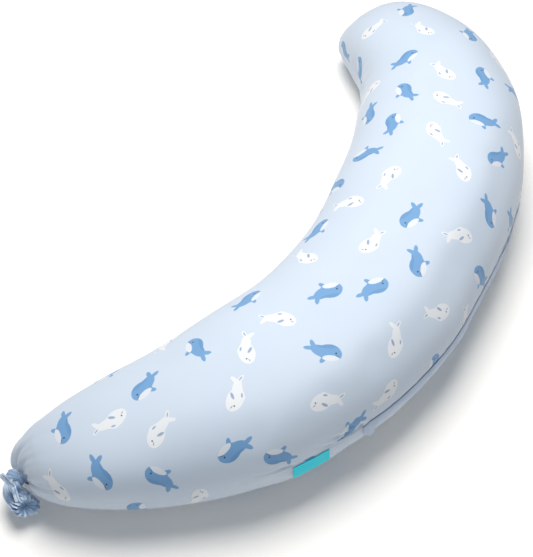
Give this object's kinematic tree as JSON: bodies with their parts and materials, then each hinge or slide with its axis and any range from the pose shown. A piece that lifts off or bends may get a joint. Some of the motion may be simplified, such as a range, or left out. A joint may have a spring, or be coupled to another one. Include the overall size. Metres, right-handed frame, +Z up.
{
  "type": "crescent pregnancy pillow",
  "caption": "Filled crescent body pillow with gathered and knotted ends, a zip placket on the outer seam and a small folded seam tab.",
  "frame": {"origin": "middle of the footprint, on the surface that the pillow lies on", "axes": "+Z up from the surface; +X along the crescent's chord from the near, knotted end to the far end; +Y out of the crescent's open side"},
  "size_m": [1.4504, 0.613, 0.266],
  "materials": {
    "cover_cloth": "matt printed cotton jersey",
    "placket_cloth": "matt plain cotton jersey",
    "tab_cloth": "woven satin tape",
    "tie_cloth": "matt cotton jersey, tightly gathered"
  },
  "bodies": {
    "root": {"pillow": "cover_cloth", "zip_placket": "placket_cloth", "seam_tab": "tab_cloth", "end_knot_near": "tie_cloth", "end_knot_far": "tie_cloth"}
  },
  "joints": []
}
